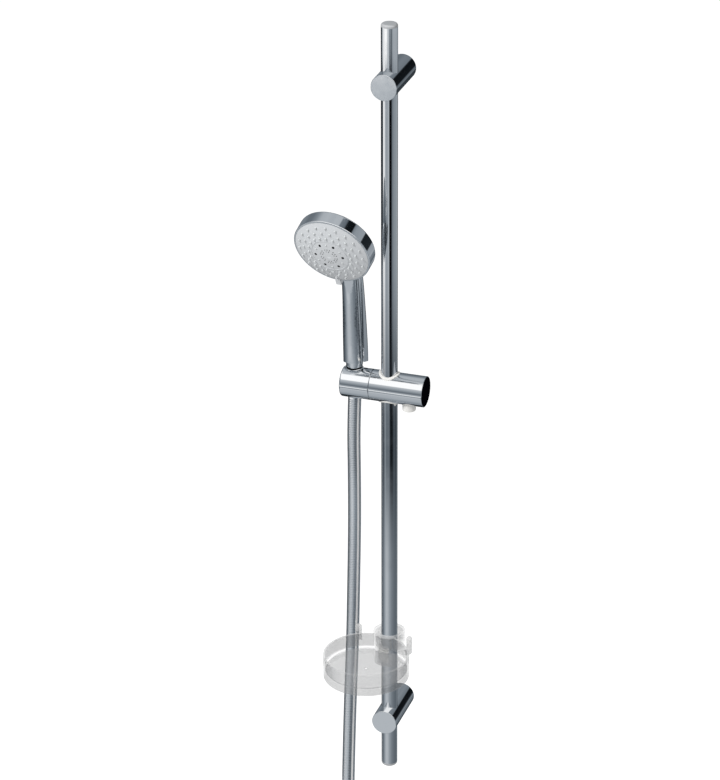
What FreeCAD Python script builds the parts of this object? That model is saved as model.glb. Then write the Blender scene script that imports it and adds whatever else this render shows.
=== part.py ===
import FreeCAD, Part
import math
import os

from FreeCAD import Placement, Rotation, Vector

# Shower slide rail: a round rail on two wall brackets, a sliding and tilting handset holder with a
# release button, a hand shower with its hose, and a clear soap dish clipped to the rail.
# Frame: wall plane y = 0, +Y into the wall, +Z up, origin midway between the two wall-screw holes.

# Rail
RAIL_D = 20.0
RAIL_WALL = 1.2
RAIL_LENGTH = 996.0
RAIL_TO_WALL = 52.0
CAP_HEAD = 4.0
CAP_EDGE = 3.0
CAP_SPIGOT = 14.0
CAP_SPIGOT_WALL = 2.0

# Wall brackets
BRACKET_INSET = 72.0
BRACKET_D = 32.0
BRACKET_NOSE = 22.0
BRACKET_WALL = 3.0
BRACKET_EDGE = 0.6
BOSS_LENGTH = 24.0
BOSS_FLANGE = 6.0
BOSS_ROOM = 4.0
WALL_SCREW_HOLE_D = 5.5
WALL_SCREW_HEAD_D = 13.0
GRUB_D = 5.0
GRUB_LENGTH = 6.0
LOCK_SCREW_D = 6.0
LOCK_SCREW_LENGTH = 10.0
HEX_KEY = 2.5
HEX_DEPTH = 2.5

# Slider
SLIDER_Z = 34.0
SLIDER_D = 38.0
SLIDER_LEFT = 21.25
SLIDER_RIGHT = 46.0
SLIDER_EDGE = 0.5
SEAM_EDGE = 0.8
BUSH_D = 26.0
BUSH_PROUD = 0.9
GRIP_HEIGHT = 7.6
GRIP_WALL = 1.4
GRIP_SPLIT = 3.0
BRAKE_BORE_D = 26.0
END_CAP_D = 36.4
END_CAP_DISC = 2.0
END_CAP_SPIGOT = 4.0
END_CAP_SPIGOT_WALL = 1.6

# Brake shoe, its spring and the release button
BUTTON_X = 25.0
BUTTON_D = 16.4
BUTTON_DROP = 8.2
BUTTON_EDGE = 1.2
BUTTON_TRAVEL = 3.0
STEM_WIDTH = 6.0
STEM_DEPTH = 8.0
STEM_TOP = 6.0
WEDGE_RATIO = 0.5
SHOE_HALF_WIDTH = 8.0
SHOE_HALF_HEIGHT = 6.0
SHOE_END = 38.0
SHOE_TIP_HALF_WIDTH = 5.0
SPRING_D = 9.0
SPRING_WIRE = 1.0
SPRING_TURNS = 4
SPRING_POCKET = 6.0

# Handset holder
HOLDER_LENGTH = 37.15
HOLDER_EDGE = 2.5
SOCKET_X = 46.4
SOCKET_BACK = 7.0
SOCKET_TOP_D = 23.8
SOCKET_BOTTOM_D = 19.4
SOCKET_SLOT = 17.0
HOLDER_LEAN = 4.0
PIVOT_D = 6.0
PIVOT_HEAD_D = 10.0
PIVOT_HEAD = 2.4
PIVOT_THREAD = 6.0
SPRING_WASHER = 1.2
WASHER_OUTER_D = 26.0
WASHER_INNER_D = 14.0
WASHER_THICK = 1.5

# Hose nut and handset inlet, heights above the slider axis along the socket
NUT_TOP = 15.0
NUT_SEAT = 3.0
NUT_BOTTOM = -13.0
INLET_D = 20.0
INLET_BORE_D = 12.0
SEAL_THICK = 2.0
FERRULE_D = 15.0
FERRULE_BORE_D = 10.0

# Hand shower
HANDSET_TURN = -6.4
HANDLE_BOTTOM = 23.3
HANDLE_BEVEL = 21.0
HANDLE_NECK = 146.0
HANDLE_BLEND = 166.0
GRIP_FORWARD = 3.2
GRIP_SWEEP = 0.003
GRIP_SWEEP_FROM = 116.0
GRIP_R = 12.0
GRIP_TAPER = 0.0175
FIN_FRONT = 17.0
FIN_BACK = 34.4
FIN_BACK_TAPER = 0.07
FIN_HALF_WIDTH = 7.6
FIN_TAPER = 0.0083
WEB_HALF_WIDTH = 4.0
ROOT_DEPTH = 15.0
ROOT_R = 8.0
ROOT_FIN_FRONT = 7.0
ROOT_FIN_BACK = 14.0
WATERWAY = 60.0
HEAD_D = 97.0
HEAD_BAND = 17.5
HEAD_DOME = 11.0
HEAD_EDGE = 1.2
HEAD_BACK_EDGE = 2.0
FACE_FORWARD = 52.0
FACE_UP = 198.5
FACE_DIP = 19.0
FACE_RECESS_D = 93.0
FACE_RECESS = 3.4
CHAMBER_D = 84.0
CHAMBER_DEPTH = 12.0
PLATE_RIM = 2.4
PLATE_DOME = 8.5
NOZZLE_RINGS = 3
NOZZLES_PER_RING = 20
NOZZLE_RING_D = 81.0
NOZZLE_RING_STEP = 13.5
NOZZLE_D = 3.0
NOZZLE_TIP_D = 2.0
NOZZLE_PROUD = 2.0
JET_COUNT = 6
JET_RING_D = 35.2
JET_PHASE = 3.0
JET_D = 3.4
JET_DEPTH = 3.0
CENTRE_DISC_D = 47.0
CENTRE_RIB = 0.5
MAT_D = 87.6
DIVIDER_D = 80.0
DIVIDER_THICK = 5.0
DIVIDER_POST_D = 14.0
LEVER_ANGLE = 0.0
LEVER_WIDTH = 6.4
LEVER_TAB = 5.5
LEVER_FRONT = 1.6
LEVER_BACK = 8.0
LEVER_ROOT = 2.0

# Hose
HOSE_D = 16.2
COIL_RADIUS = 75.0
COIL_TURN_PITCH = 17.0
TIE_WALL = 1.4
TIE_WIDTH = 14.0
END_FERRULE_D = 17.0
END_FERRULE_LENGTH = 22.0
END_NUT_AF = 24.0
END_NUT_LENGTH = 16.0
END_NUT_BORE_D = 19.0
END_NUT_THREAD = 12.0
END_CHAMFER = 1.0
BEND_SHARE = 0.45

# Soap dish
DISH_RIM_Z = -305.0
DISH_TURN = -8.7
DISH_D = 106.0
DISH_HEIGHT = 28.5
DISH_WALL = 2.2
DISH_FLOOR = 2.0
DISH_SKIRT = 7.0
DISH_OFFSET = 64.0
DISH_DRAIN_D = 5.0
COLLAR_D = 40.0
COLLAR_ABOVE_RIM = 1.0
COLLAR_BELOW = 12.0
PAD_WALL = 3.5
PAD_HEIGHT = 17.0
PAD_ARC = 110.0
PAD_CENTRE = 235.0
PEG_D = 7.0
PEG_SIDE = 35.0
PEG_FRONT = 15.0
PEG_ABOVE_RIM = 9.0
PEG_ARM_BELOW_RIM = 13.0

# Clearances
FIT = 0.1
SLIDE_GAP = 0.25
RUN_GAP = 0.3
THREAD_GAP = 0.1
THROUGH = 40.0
TOUCH = 0.01

# Places that follow from the sizes
RAIL_R = RAIL_D / 2
BRACKET_SPACING = RAIL_LENGTH - 2 * BRACKET_INSET
RAIL_Y = -RAIL_TO_WALL
SLIDER_R = SLIDER_D / 2
BRACKET_R = BRACKET_D / 2
BRACKET_BORE_R = BRACKET_R - BRACKET_WALL
BOSS_R = BRACKET_BORE_R - FIT
HOLDER_RIGHT = SLIDER_LEFT + RUN_GAP
BUSH_BORE_R = RAIL_R + SLIDE_GAP
GRIP_INNER_R = RAIL_R + SLIDE_GAP
GRIP_OUTER_R = GRIP_INNER_R + GRIP_WALL
GROOVE_R = GRIP_OUTER_R + RUN_GAP
X = Vector(1, 0, 0)
Y = Vector(0, 1, 0)
Z = Vector(0, 0, 1)

SLIDER_PLACE = Placement(Vector(0, RAIL_Y, SLIDER_Z), Rotation())
HOLDER_PLACE = Placement(Vector(-SOCKET_X, RAIL_Y, SLIDER_Z), Rotation(X, HOLDER_LEAN))
SOCKET_PLACE = HOLDER_PLACE.multiply(Placement(Y * SOCKET_BACK, Rotation()))
HANDSET_PLACE = SOCKET_PLACE.multiply(Placement(Vector(), Rotation(Z, HANDSET_TURN)))
HEAD_LOCAL = Placement(Vector(0, -FACE_FORWARD, FACE_UP), Rotation(X, 90 + FACE_DIP))
HEAD_PLACE = HANDSET_PLACE.multiply(HEAD_LOCAL)
DISH_PLACE = Placement(Vector(0, RAIL_Y, 0), Rotation(Z, DISH_TURN))


def rod(radius, start, end, axis):
    """A cylinder along one axis through the local origin, from start to end."""
    return Part.makeCylinder(radius, end - start, axis * start, axis)


def pipe(outer, inner, start, end, axis):
    """A round tube along one axis through the local origin."""
    return rod(outer, start, end, axis).cut(rod(inner, start, end, axis))


def block(low, high):
    """A box from its lowest to its highest corner."""
    size = high - low
    return Part.makeBox(size.x, size.y, size.z, low)


def turned(points):
    """A solid turned about Z from a closed outline of (radius, height) points."""
    outline = [Vector(r, 0, h) for r, h in points]
    face = Part.Face(Part.makePolygon(outline + outline[:1]))
    return face.revolve(Vector(), Z, 360)


def hexagon(across_flats, start, end):
    """A six-sided prism along Z."""
    corner = across_flats / math.sqrt(3)
    turns = [math.radians(60 * k) for k in range(7)]
    outline = [Vector(corner * math.cos(t), corner * math.sin(t), start) for t in turns]
    return Part.Face(Part.makePolygon(outline)).extrude(Z * (end - start))


def rounded(solid, radius, test):
    """The solid with a fillet on every edge whose middle passes the test."""
    edges = [e for e in solid.Edges if test(e.CenterOfMass)]
    return solid.makeFillet(radius, edges)


def placed(shape, place):
    """A copy of a shape moved from its own frame to its place."""
    moved = shape.copy()
    moved.Placement = place.multiply(shape.Placement)
    return moved


def grub(diameter, length):
    """A set screw along Z with its hexagon socket at the lower end."""
    body = rod(diameter / 2 - THREAD_GAP, 0, length, Z)
    return body.cut(hexagon(HEX_KEY, 0, HEX_DEPTH))


# Rail

def rail_tube():
    half = RAIL_LENGTH / 2 - CAP_HEAD
    tube = pipe(RAIL_R, RAIL_R - RAIL_WALL, -half, half, Z)
    return placed(tube, Placement(Vector(0, RAIL_Y, 0), Rotation()))


def rail_cap(side):
    head = rod(RAIL_R, 0, CAP_HEAD, Z)
    head = rounded(head, CAP_EDGE, lambda c: c.z > CAP_HEAD - TOUCH)
    spigot_r = RAIL_R - RAIL_WALL - FIT
    spigot = pipe(spigot_r, spigot_r - CAP_SPIGOT_WALL, -CAP_SPIGOT, 0, Z)
    turn = Rotation(X, 0 if side > 0 else 180)
    seat = Vector(0, RAIL_Y, side * (RAIL_LENGTH / 2 - CAP_HEAD))
    return placed(head.fuse(spigot).removeSplitter(), Placement(seat, turn))


# Wall brackets, each in a frame with its axis on Y and the wall at y = 0

def bracket_place(side):
    return Placement(Vector(0, 0, side * BRACKET_SPACING / 2), Rotation())


def bracket_sleeve():
    front = -(RAIL_TO_WALL + BRACKET_NOSE)
    body = rod(BRACKET_R, front, 0, Y)
    body = rounded(body, BRACKET_EDGE, lambda c: c.y < front + TOUCH)
    body = body.cut(rod(BRACKET_BORE_R, -(BOSS_LENGTH + BOSS_ROOM), 0, Y))
    rail = Part.makeCylinder(RAIL_R + FIT, BRACKET_D, Vector(0, RAIL_Y, -BRACKET_R), Z)
    lock = rod(LOCK_SCREW_D / 2, RAIL_Y, 0, Y)
    grub_hole = Part.makeCylinder(GRUB_D / 2, BRACKET_R, Vector(0, -BOSS_LENGTH / 2, -BRACKET_R), Z)
    return body.cut(rail).cut(lock).cut(grub_hole)


def wall_boss():
    boss = rod(BOSS_R, -BOSS_LENGTH, 0, Y)
    boss = boss.cut(rod(WALL_SCREW_HOLE_D / 2, -BOSS_LENGTH, 0, Y))
    boss = boss.cut(rod(WALL_SCREW_HEAD_D / 2, -BOSS_LENGTH, -BOSS_FLANGE, Y))
    seat = -BRACKET_R + GRUB_LENGTH
    pocket = Part.makeCylinder(GRUB_D / 2, BOSS_R + seat, Vector(0, -BOSS_LENGTH / 2, -BOSS_R), Z)
    return boss.cut(pocket)


def grub_screws():
    screw = grub(GRUB_D, GRUB_LENGTH)
    at = Placement(Vector(0, -BOSS_LENGTH / 2, -BRACKET_R), Rotation())
    return Part.makeCompound([placed(screw, bracket_place(s).multiply(at)) for s in (1, -1)])


def rail_lock_screws():
    screw = grub(LOCK_SCREW_D, LOCK_SCREW_LENGTH)
    tip = RAIL_Y + RAIL_R + FIT
    at = Placement(Vector(0, tip + LOCK_SCREW_LENGTH, 0), Rotation(X, 90))
    return Part.makeCompound([placed(screw, bracket_place(s).multiply(at)) for s in (1, -1)])


# Slider, in a frame with the rail on Z and the slider's own axis on X

def slider_body():
    body = rod(SLIDER_R, -SLIDER_LEFT, SLIDER_RIGHT, X)
    body = rounded(body, SLIDER_EDGE, lambda c: c.x > SLIDER_RIGHT - TOUCH)
    body = rounded(body, SEAM_EDGE, lambda c: c.x < TOUCH - SLIDER_LEFT)
    cap_seat = rod(END_CAP_D / 2 + FIT, SLIDER_RIGHT - END_CAP_DISC, SLIDER_RIGHT, X)
    brake = rod(BRAKE_BORE_D / 2, 0, SLIDER_RIGHT, X)
    bush = rod(BUSH_D / 2, -SLIDER_D, SLIDER_D, Z)
    button = Part.makeCylinder(BUTTON_D / 2 + RUN_GAP, SLIDER_D, Vector(BUTTON_X, 0, -SLIDER_D), Z)
    washer = rod(WASHER_OUTER_D / 2 + FIT, -SLIDER_LEFT, -SLIDER_LEFT + WASHER_THICK, X)
    pivot = rod(PIVOT_D / 2 + FIT, -SLIDER_LEFT, 0, X)
    head_seat = -BUSH_D / 2 - PIVOT_HEAD - SPRING_WASHER - 2 * FIT
    head = rod(PIVOT_HEAD_D / 2 + RUN_GAP, head_seat, 0, X)
    for cutter in (cap_seat, brake, bush, button, washer, pivot, head):
        body = body.cut(cutter)
    return placed(body, SLIDER_PLACE)


def slider_bush():
    bush = pipe(BUSH_D / 2 - FIT, BUSH_BORE_R, -SLIDER_D, SLIDER_D, Z)
    bush = bush.common(rod(SLIDER_R + BUSH_PROUD, -SLIDER_D, SLIDER_D, X))
    groove_half = GRIP_HEIGHT / 2 + RUN_GAP
    groove = rod(GROOVE_R, -groove_half, groove_half, Z)
    tip = SHOE_TIP_HALF_WIDTH + RUN_GAP
    window = block(Vector(0, -tip, -groove_half), Vector(BUSH_D, tip, groove_half))
    return placed(bush.cut(groove).cut(window), SLIDER_PLACE)


def grip_ring():
    half = GRIP_HEIGHT / 2
    ring = pipe(GRIP_OUTER_R, GRIP_INNER_R, -half, half, Z)
    split = block(Vector(-BUSH_D, -GRIP_SPLIT / 2, -half), Vector(0, GRIP_SPLIT / 2, half))
    return placed(ring.cut(split), SLIDER_PLACE)


def slider_end_cap():
    disc = rod(END_CAP_D / 2, SLIDER_RIGHT - END_CAP_DISC, SLIDER_RIGHT, X)
    disc = rounded(disc, SLIDER_EDGE, lambda c: c.x > SLIDER_RIGHT - TOUCH)
    spigot_r = BRAKE_BORE_D / 2 - FIT
    inner = SLIDER_RIGHT - END_CAP_DISC
    spigot = pipe(spigot_r, spigot_r - END_CAP_SPIGOT_WALL, inner - END_CAP_SPIGOT, inner, X)
    return placed(disc.fuse(spigot).removeSplitter(), SLIDER_PLACE)


def wedge_face(height, clearance):
    """X of the button's sloping face at a height, moved right by a clearance."""
    return BUTTON_X + STEM_DEPTH / 2 - (height + SHOE_HALF_HEIGHT) * WEDGE_RATIO + clearance


def sloped_block(left, half_width, low, high, clearance):
    """A block between a plane at left and the sloping face, from low to high."""
    corners = [
        Vector(left, -half_width, low),
        Vector(wedge_face(low, clearance), -half_width, low),
        Vector(wedge_face(high, clearance), -half_width, high),
        Vector(left, -half_width, high),
    ]
    return Part.Face(Part.makePolygon(corners + corners[:1])).extrude(Y * (2 * half_width))


def brake_shoe():
    face = GRIP_OUTER_R + SLIDE_GAP
    shoulder = BUSH_D / 2 + RUN_GAP
    tip_half = GRIP_HEIGHT / 2 - RUN_GAP
    tip_wide = SHOE_TIP_HALF_WIDTH
    tip = block(Vector(0, -tip_wide, -tip_half), Vector(shoulder, tip_wide, tip_half))
    tip = tip.cut(rod(face, -SHOE_HALF_HEIGHT, SHOE_HALF_HEIGHT, Z))
    wide = Vector(shoulder, -SHOE_HALF_WIDTH, -SHOE_HALF_HEIGHT)
    body = block(wide, Vector(SHOE_END, SHOE_HALF_WIDTH, SHOE_HALF_HEIGHT))
    slot_left = BUTTON_X - STEM_DEPTH / 2 - BUTTON_TRAVEL * WEDGE_RATIO - RUN_GAP
    slot_half = STEM_WIDTH / 2 + RUN_GAP
    reach = SHOE_HALF_HEIGHT + RUN_GAP
    slot = sloped_block(slot_left, slot_half, -reach, reach, RUN_GAP)
    pocket = rod(SPRING_D / 2 + RUN_GAP, SHOE_END - SPRING_POCKET, SHOE_END, X)
    return placed(body.fuse(tip).removeSplitter().cut(slot).cut(pocket), SLIDER_PLACE)


def brake_spring():
    start = SHOE_END - SPRING_POCKET
    end = SLIDER_RIGHT - END_CAP_DISC
    radius = (SPRING_D - SPRING_WIRE) / 2
    height = end - start - SPRING_WIRE - 2 * FIT
    helix = Part.makeHelix(height / SPRING_TURNS, height, radius)
    section = Part.Wire(Part.makeCircle(SPRING_WIRE / 2, Vector(radius, 0, 0), Y))
    coil = Part.Wire(helix.Edges).makePipeShell([section], True, True)
    at = Placement(Vector(start + SPRING_WIRE / 2 + FIT, 0, 0), Rotation(Y, 90))
    return placed(placed(coil, at), SLIDER_PLACE)


def release_button():
    low = -SLIDER_R - BUTTON_DROP
    shoe_low = -SHOE_HALF_HEIGHT - BUTTON_TRAVEL - RUN_GAP
    cap = Part.makeCylinder(BUTTON_D / 2, shoe_low - low, Vector(BUTTON_X, 0, low), Z)
    cap = rounded(cap, BUTTON_EDGE, lambda c: c.z < low + TOUCH)
    left = BUTTON_X - STEM_DEPTH / 2
    foot = block(Vector(left, -STEM_WIDTH / 2, shoe_low),
                 Vector(left + STEM_DEPTH, STEM_WIDTH / 2, -SHOE_HALF_HEIGHT))
    stem = sloped_block(left, STEM_WIDTH / 2, -SHOE_HALF_HEIGHT, STEM_TOP, 0)
    return placed(cap.fuse(foot).fuse(stem).removeSplitter(), SLIDER_PLACE)


def friction_washer():
    inner_face = WASHER_THICK - FIT - SLIDER_LEFT
    washer = pipe(WASHER_OUTER_D / 2, WASHER_INNER_D / 2, -SLIDER_LEFT, inner_face, X)
    return placed(washer, SLIDER_PLACE)


def pivot_spring_washer():
    seat = -BUSH_D / 2 - PIVOT_HEAD - SPRING_WASHER - 2 * FIT
    washer = pipe(PIVOT_HEAD_D / 2, PIVOT_D / 2 + RUN_GAP, seat, seat + SPRING_WASHER, X)
    return placed(washer, SLIDER_PLACE)


def pivot_screw():
    head_end = -BUSH_D / 2 - FIT
    head_start = head_end - PIVOT_HEAD
    head = rod(PIVOT_HEAD_D / 2, head_start, head_end, X)
    key_place = Placement(Vector(head_end, 0, 0), Rotation(Y, -90))
    key = placed(hexagon(HEX_KEY * 2, 0, HEX_DEPTH), key_place)
    shank = rod(PIVOT_D / 2 - THREAD_GAP, -HOLDER_RIGHT - PIVOT_THREAD, head_start, X)
    return placed(head.fuse(shank).removeSplitter().cut(key), SLIDER_PLACE)


# Holder on the slider's axis X, and the hose nut in a frame with the socket on Z

def socket_cone(clearance):
    top = SOCKET_TOP_D / 2 - clearance
    bottom = SOCKET_BOTTOM_D / 2 - clearance
    return Part.makeCone(bottom, top, SLIDER_D, Vector(0, 0, -SLIDER_R), Z)


def handset_holder():
    """A cylinder with the socket a little behind its axis; the socket is slotted to the back for the hose."""
    right = SOCKET_X - HOLDER_RIGHT
    left = right - HOLDER_LENGTH
    body = rod(SLIDER_R, left, right, X)
    body = rounded(body, HOLDER_EDGE, lambda c: c.x < left + TOUCH)
    body = rounded(body, SEAM_EDGE, lambda c: c.x > right - TOUCH)
    socket = placed(socket_cone(0), Placement(Y * SOCKET_BACK, Rotation()))
    slot_half = SOCKET_SLOT / 2
    slot = block(Vector(-slot_half, SOCKET_BACK, -SLIDER_D), Vector(slot_half, SLIDER_D, SLIDER_D))
    thread = rod(PIVOT_D / 2, right - PIVOT_THREAD - RUN_GAP, right, X)
    return placed(body.cut(socket).cut(slot).cut(thread), HOLDER_PLACE)


def below_holder():
    """What lies under the round underside of the holder, in the socket's frame."""
    low = block(Vector(-SLIDER_D, -SLIDER_D, -SLIDER_D), Vector(SLIDER_D, SLIDER_D, 0))
    return low.cut(placed(rod(SLIDER_R, -SLIDER_D, SLIDER_D, X), Placement(Y * -SOCKET_BACK, Rotation())))


def hose_cone_nut():
    """The nut's foot is cut flush with the round underside of the holder."""
    body = socket_cone(FIT)
    body = body.common(rod(SLIDER_D, NUT_BOTTOM, NUT_TOP, Z)).cut(below_holder())
    body = body.cut(rod(INLET_D / 2 + THREAD_GAP, NUT_SEAT, NUT_TOP, Z))
    body = body.cut(rod(FERRULE_D / 2 + FIT, NUT_BOTTOM, NUT_SEAT, Z))
    return placed(body, SOCKET_PLACE)


def hose_ferrule():
    """The sleeve on the hose's end; its foot is flush with the round underside of the holder."""
    sleeve = pipe(FERRULE_D / 2, FERRULE_BORE_D / 2, -SLIDER_R, NUT_SEAT, Z)
    return placed(sleeve.cut(below_holder()), SOCKET_PLACE)


def hose_seal():
    ring = pipe(INLET_D / 2, FERRULE_BORE_D / 2, NUT_SEAT, NUT_SEAT + SEAL_THICK, Z)
    return placed(ring, SOCKET_PLACE)


# Hand shower, in a frame with the socket on Z and the face towards -Y

def grip_centre(height):
    """The middle of the round grip, which curves forwards towards the head."""
    sweep = GRIP_SWEEP * max(height - GRIP_SWEEP_FROM, 0) ** 2
    return Vector(0, -GRIP_FORWARD - sweep, height)


def grip_section(height):
    """The round front of the handle at a height."""
    radius = GRIP_R - GRIP_TAPER * (height - HANDLE_BOTTOM)
    return Part.Wire(Part.makeCircle(radius, grip_centre(height), Z))


def fin_outline(front, reach, half):
    """A slot-shaped outline from a front point back by a reach, with a round back."""
    left = front - X * half
    right = front + X * half
    back = Y * (reach - half)
    sides = [
        Part.LineSegment(left, right),
        Part.LineSegment(right, right + back),
        Part.Arc(right + back, front + Y * reach, left + back),
        Part.LineSegment(left + back, left),
    ]
    return Part.Wire([side.toShape() for side in sides])


def fin_section(height):
    """The fin along the handle's back at a height, set off from the grip by a groove."""
    rise = height - HANDLE_BOTTOM
    thick = FIN_BACK - FIN_BACK_TAPER * rise - FIN_FRONT
    return fin_outline(grip_centre(height) + Y * FIN_FRONT, thick, FIN_HALF_WIDTH - FIN_TAPER * rise)


def web_section(height):
    """The narrow web in the groove between grip and fin at a height."""
    return fin_outline(grip_centre(height), FIN_FRONT + WEB_HALF_WIDTH, WEB_HALF_WIDTH)


def handle():
    """A round grip with a web and a fin along its back; its foot slants down, its top ends in the head."""
    heights = [
        HANDLE_BOTTOM,
        (2 * HANDLE_BOTTOM + HANDLE_NECK) / 3,
        (HANDLE_BOTTOM + 2 * HANDLE_NECK) / 3,
        HANDLE_NECK,
        HANDLE_BLEND,
    ]
    root = Vector(0, ROOT_DEPTH - FACE_FORWARD, FACE_UP)
    root_half = FIN_HALF_WIDTH - FIN_TAPER * FACE_UP
    ends = [
        Part.Wire(Part.makeCircle(ROOT_R, root, Z)),
        fin_outline(root + Y * ROOT_FIN_FRONT, ROOT_FIN_BACK - ROOT_FIN_FRONT, root_half),
        fin_outline(root, ROOT_FIN_FRONT + WEB_HALF_WIDTH, WEB_HALF_WIDTH),
    ]
    lofts = []
    for section, end in zip((grip_section, fin_section, web_section), ends):
        wires = [section(h) for h in heights] + [end]
        wires[0].rotate(Vector(0, 0, HANDLE_BOTTOM), X, -HANDLE_BEVEL)
        lofts.append(Part.makeLoft(wires, True, False))
    return lofts[0].fuse(lofts[1:])


def head_shell():
    """The head: a round band with a domed back."""
    r = HEAD_D / 2
    ball_r = (r ** 2 + HEAD_DOME ** 2) / (2 * HEAD_DOME)
    depth = HEAD_BAND + HEAD_DOME
    ball = Part.makeSphere(ball_r, Vector(0, 0, ball_r - depth))
    head = rod(r, -depth, 0, Z).common(ball)
    head = rounded(head, HEAD_BACK_EDGE, lambda c: abs(c.z + HEAD_BAND) < TOUCH)
    head = rounded(head, HEAD_EDGE, lambda c: abs(c.z) < TOUCH)
    return placed(head, HEAD_LOCAL)


def handset_body():
    body = head_shell().fuse(handle())
    recess = rod(FACE_RECESS_D / 2, -FACE_RECESS, HEAD_EDGE, Z)
    chamber = rod(CHAMBER_D / 2, -CHAMBER_DEPTH, 0, Z)
    for cutter in (recess, chamber):
        body = body.cut(placed(cutter, HEAD_LOCAL))
    inlet_low = NUT_SEAT + SEAL_THICK
    inlet = rod(INLET_D / 2, inlet_low, HANDLE_BOTTOM + INLET_D / 2, Z)
    waterway = rod(INLET_BORE_D / 2, inlet_low, HANDLE_BOTTOM + WATERWAY, Z)
    body = body.fuse(inlet).removeSplitter().cut(waterway)
    return placed(body, HANDSET_PLACE)


# Spray face, in a frame with the face axis on Z, the face outwards and the head's top on Y

PLATE_R = FACE_RECESS_D / 2 - RUN_GAP
PLATE_BALL_R = (PLATE_R ** 2 + PLATE_DOME ** 2) / (2 * PLATE_DOME)


def dome_height(radius):
    """Height of the domed spray face over its own rim at a distance from the axis."""
    return math.sqrt(PLATE_BALL_R ** 2 - radius ** 2) - PLATE_BALL_R + PLATE_DOME


def around(radius, count, phase):
    """Points evenly spaced on a circle, the first at the phase angle in degrees."""
    turns = [math.radians(phase + 360 * k / count) for k in range(count)]
    return [Vector(radius * math.cos(t), radius * math.sin(t), 0) for t in turns]


def nozzle_rings():
    """Radius and nozzle centres of each ring, each ring half a step on from the last."""
    rings = []
    for ring in range(NOZZLE_RINGS):
        radius = (NOZZLE_RING_D - ring * NOZZLE_RING_STEP) / 2
        rings.append((radius, around(radius, NOZZLES_PER_RING, ring * 180 / NOZZLES_PER_RING)))
    return rings


def selector_lever():
    rim = HEAD_D / 2
    half = LEVER_WIDTH / 2
    outer = -rim - LEVER_TAB
    arm = block(Vector(-half, outer, RUN_GAP), Vector(half, LEVER_ROOT - PLATE_R, LEVER_FRONT))
    tab = block(Vector(-half, outer, -LEVER_BACK), Vector(half, -rim - RUN_GAP, LEVER_FRONT))
    return placed(arm.fuse(tab).removeSplitter(), Placement(Vector(), Rotation(Z, LEVER_ANGLE)))


def spray_plate():
    ball = Part.makeSphere(PLATE_BALL_R, Vector(0, 0, PLATE_DOME - PLATE_BALL_R))
    plate = rod(PLATE_R, -PLATE_RIM, PLATE_DOME, Z).common(ball)
    rib_r = CENTRE_DISC_D / 2
    rib = pipe(rib_r, rib_r - 2 * CENTRE_RIB, -PLATE_RIM, dome_height(rib_r) + CENTRE_RIB, Z)
    plate = plate.fuse(rib).removeSplitter()
    holes = []
    for radius, centres in nozzle_rings():
        holes += [Part.makeCylinder(NOZZLE_D / 2 + FIT, THROUGH, c - Z * PLATE_RIM, Z) for c in centres]
    jet_low = dome_height(JET_RING_D / 2) - JET_DEPTH
    for c in around(JET_RING_D / 2, JET_COUNT, JET_PHASE):
        holes.append(Part.makeCylinder(JET_D / 2, THROUGH, c + Z * jet_low, Z))
    plate = plate.cut(Part.makeCompound(holes))
    return placed(plate.fuse(selector_lever()).removeSplitter(), HEAD_PLACE)


def nozzle_mat():
    low = -FACE_RECESS + RUN_GAP
    mat = rod(MAT_D / 2, low, -PLATE_RIM, Z)
    stems = []
    for radius, centres in nozzle_rings():
        height = dome_height(radius) + PLATE_RIM
        stem = rod(NOZZLE_D / 2, low, height - PLATE_RIM, Z)
        tip = Part.makeCone(NOZZLE_D / 2, NOZZLE_TIP_D / 2, NOZZLE_PROUD, Z * (height - PLATE_RIM), Z)
        nozzle = stem.fuse(tip)
        stems += [placed(nozzle, Placement(c, Rotation())) for c in centres]
    return placed(mat.fuse(stems).removeSplitter(), HEAD_PLACE)


def flow_divider():
    top = -FACE_RECESS - RUN_GAP
    disc = rod(DIVIDER_D / 2, top - DIVIDER_THICK, top, Z)
    post = rod(DIVIDER_POST_D / 2, -CHAMBER_DEPTH, top - DIVIDER_THICK, Z)
    centres = around(JET_RING_D / 2, JET_COUNT, JET_PHASE)
    ports = [Part.makeCylinder(JET_D, THROUGH, c - Z * THROUGH, Z) for c in centres]
    return placed(disc.fuse(post).removeSplitter().cut(Part.makeCompound(ports)), HEAD_PLACE)


# Hose: it hangs from the holder, behind the dish, and its spare length is a tied coil below the rail

HOSE_ROUTE = [
    Vector(-46.4, -44.1, 22.0),
    Vector(-48.9, -43.0, -30.0),
    Vector(-48.6, -41.7, -95.0),
    Vector(-49.9, -38.0, -170.0),
    Vector(-52.0, -36.4, -250.0),
    Vector(-53.8, -36.6, -335.0),
    Vector(-56.8, -38.0, -420.0),
    Vector(-58.4, -41.0, -505.0),
    Vector(-58.7, -46.0, -595.0),
    Vector(-58.7, -49.0, -665.0),
]
COIL_TURNS = 2
COIL_START = HOSE_ROUTE[-1]
COIL_CENTRE = COIL_START + Vector(-COIL_RADIUS, COIL_TURNS * COIL_TURN_PITCH / 2, 0)
TAIL_TOP = COIL_START + Vector(0, COIL_TURNS * COIL_TURN_PITCH, 0)


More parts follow.
